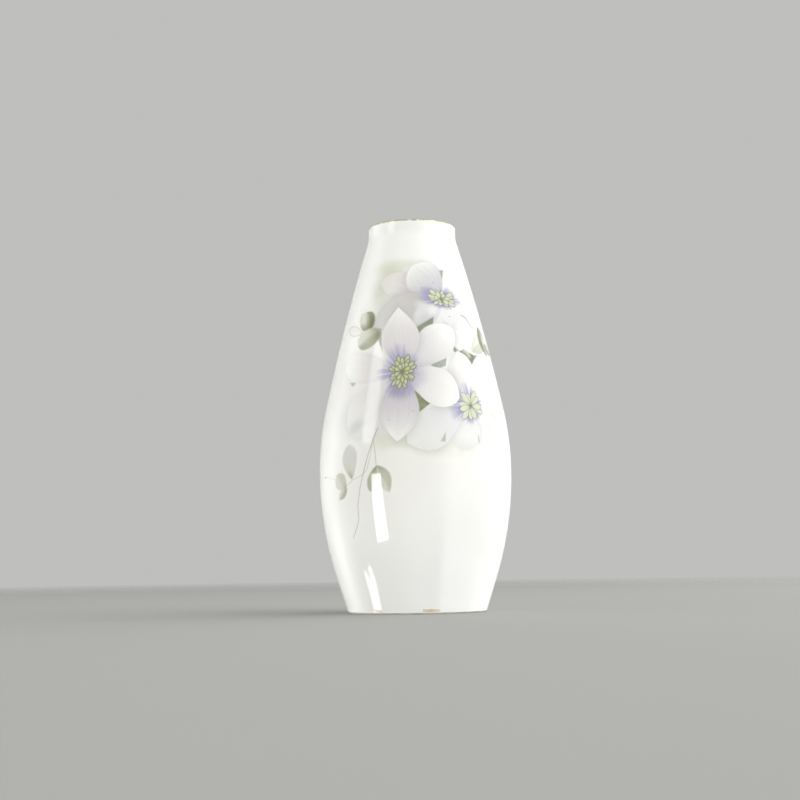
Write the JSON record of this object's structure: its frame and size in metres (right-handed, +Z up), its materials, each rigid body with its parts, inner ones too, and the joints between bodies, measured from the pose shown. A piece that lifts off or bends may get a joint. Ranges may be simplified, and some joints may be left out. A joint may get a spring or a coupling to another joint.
{
  "type": "flower vase",
  "caption": "Small glossy white porcelain flower vase: foot ring, full belly, long tapering shoulder, short collar, worn gold lip line and a printed flower spray.",
  "frame": {"origin": "centre of the vase on the plane that its foot ring stands on", "axes": "+Z up along the vase's axis, -Y the side with the flower spray, +X to the right when looking at that side"},
  "size_m": [0.079, 0.079, 0.16],
  "materials": {
    "bisque porcelain": "matt, unglazed, bare on the foot ring",
    "white glaze": "high gloss, faintly creamy white",
    "gilding": "thin fired gold, worn",
    "flower print": "fired on-glaze print, gloss",
    "leaf print": "fired on-glaze print, gloss"
  },
  "bodies": {
    "root": {"porcelain_body": "bisque porcelain", "outer_glaze": "white glaze", "inner_glaze": "white glaze", "base_glaze": "white glaze", "rim_gilding": "gilding", "foot_gilding": "gilding", "flower_spray_transfer": "flower print", "leaf_sprig_transfer": "leaf print"}
  },
  "joints": []
}
